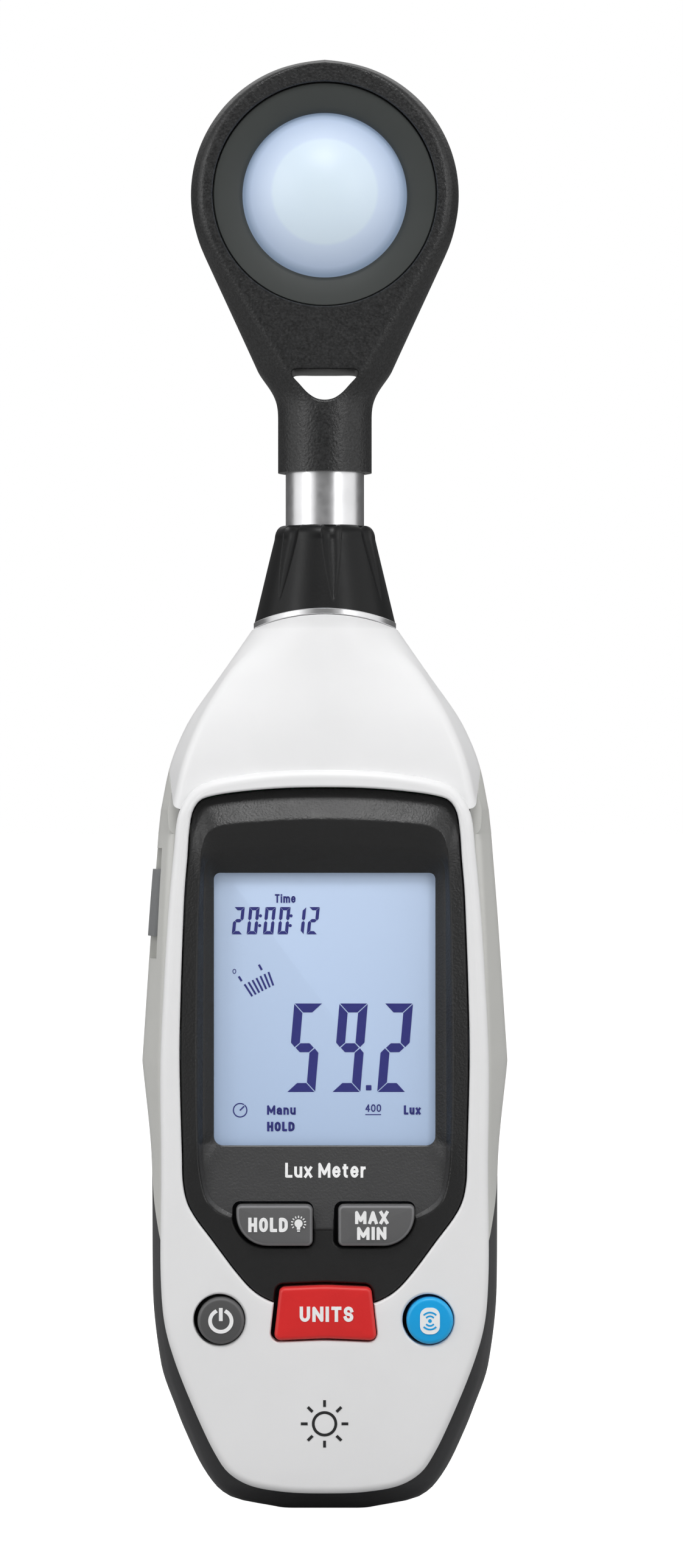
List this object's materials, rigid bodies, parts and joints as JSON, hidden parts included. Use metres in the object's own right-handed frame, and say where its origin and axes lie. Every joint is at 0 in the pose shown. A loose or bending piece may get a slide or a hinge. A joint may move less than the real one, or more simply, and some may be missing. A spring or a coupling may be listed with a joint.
{
  "type": "handheld light meter",
  "caption": "Handheld light meter: keyed display case in a rubber boot, fluted neck and chrome stem with a swivelling round sensor head under an opal dome.",
  "frame": {"origin": "mouth of the tripod thread in the middle of the flat back", "axes": "+Z runs along the meter from the boot to the head, the display faces -Y, +X is to the right seen from the front"},
  "size_m": [0.066, 0.0349, 0.2599],
  "materials": {
    "case_plastic": "fine satin",
    "flank_plastic": "satin",
    "boot_rubber": "matte, fine grain",
    "bezel_plastic": "fine grain",
    "window_clear": "gloss",
    "lcd": "satin",
    "white_plastic": "satin",
    "inner_rubber": "matte",
    "circuit_board": "solder mask",
    "key_rubber": "matte",
    "red_key": "satin",
    "blue_key": "satin",
    "chip_plastic": "matte",
    "steel": "plated",
    "port_rubber": "matte",
    "cell_jacket": "gloss sleeve",
    "brass": "machined",
    "chrome": "polished",
    "head_plastic": "fine grain",
    "lead_jacket": "satin",
    "ring_plastic": "matte",
    "opal_plastic": "satin",
    "filter_glass": "gloss"
  },
  "bodies": {
    "case": {"front_housing": "case_plastic", "rear_housing": "flank_plastic", "rubber_boot": "boot_rubber", "display_bezel": "bezel_plastic", "display_window": "window_clear", "lcd_glass": "lcd", "backlight": "white_plastic", "zebra_strip_top": "inner_rubber", "zebra_strip_bottom": "inner_rubber", "main_board": "circuit_board", "keypad_mat": "key_rubber", "controller_chip": "chip_plastic", "radio_module": "steel", "buzzer": "chip_plastic", "usb_port": "steel", "lead_connector": "white_plastic", "battery_1": "cell_jacket", "battery_2": "cell_jacket", "battery_3": "cell_jacket", "battery_4": "cell_jacket", "battery_contact_top": "steel", "battery_contact_springs": "steel", "case_screw_upper_left": "steel", "case_screw_upper_right": "steel", "case_screw_lower_left": "steel", "case_screw_lower_right": "steel", "tripod_insert": "brass", "neck_ring": "chrome", "neck_collar": "head_plastic", "stem_bush": "white_plastic", "friction_ring": "inner_rubber", "sensor_lead_tail": "lead_jacket"},
    "head": {"head_front_shell": "head_plastic", "head_rear_shell": "head_plastic", "head_screw_1": "steel", "head_screw_2": "steel", "head_screw_3": "steel", "diffuser_ring": "ring_plastic", "diffuser_dome": "opal_plastic", "sensor_filter": "filter_glass", "photodiode": "steel", "sensor_board": "circuit_board", "stem_tube": "chrome", "stem_clip": "steel", "sensor_lead": "lead_jacket"},
    "hold": {"hold_key": "key_rubber"},
    "maxmin": {"maxmin_key": "key_rubber"},
    "units": {"units_key": "red_key"},
    "power": {"power_key": "key_rubber"},
    "wireless": {"wireless_key": "blue_key"},
    "cover": {"port_cover": "port_rubber"},
    "door": {"battery_door": "flank_plastic", "battery_door_screw": "steel"}
  },
  "joints": [
    {"name": "head_swivel", "type": "hinge", "parent": "case", "child": "head", "pos_m": [0, -0.017, 0.085], "axis": [0, 0, 1], "range_deg": [-135, 135]},
    {"name": "hold_press", "type": "slide", "parent": "case", "child": "hold", "axis": [0, 1, 0], "range_m": [0, 0.001], "stiffness_N_per_m": 800},
    {"name": "maxmin_press", "type": "slide", "parent": "case", "child": "maxmin", "axis": [0, 1, 0], "range_m": [0, 0.001], "stiffness_N_per_m": 800},
    {"name": "units_press", "type": "slide", "parent": "case", "child": "units", "axis": [0, 1, 0], "range_m": [0, 0.001], "stiffness_N_per_m": 800},
    {"name": "power_press", "type": "slide", "parent": "case", "child": "power", "axis": [0, 1, 0], "range_m": [0, 0.001], "stiffness_N_per_m": 800},
    {"name": "wireless_press", "type": "slide", "parent": "case", "child": "wireless", "axis": [0, 1, 0], "range_m": [0, 0.001], "stiffness_N_per_m": 800},
    {"name": "port_cover_hinge", "type": "hinge", "parent": "case", "child": "cover", "pos_m": [-0.0296, -0.0198, 0.0195], "axis": [0, 1, 0], "range_deg": [0, 100]},
    {"name": "battery_door_hinge", "type": "hinge", "parent": "case", "child": "door", "pos_m": [0, 0, -0.018], "axis": [1, 0, 0], "range_deg": [0, 60]}
  ]
}
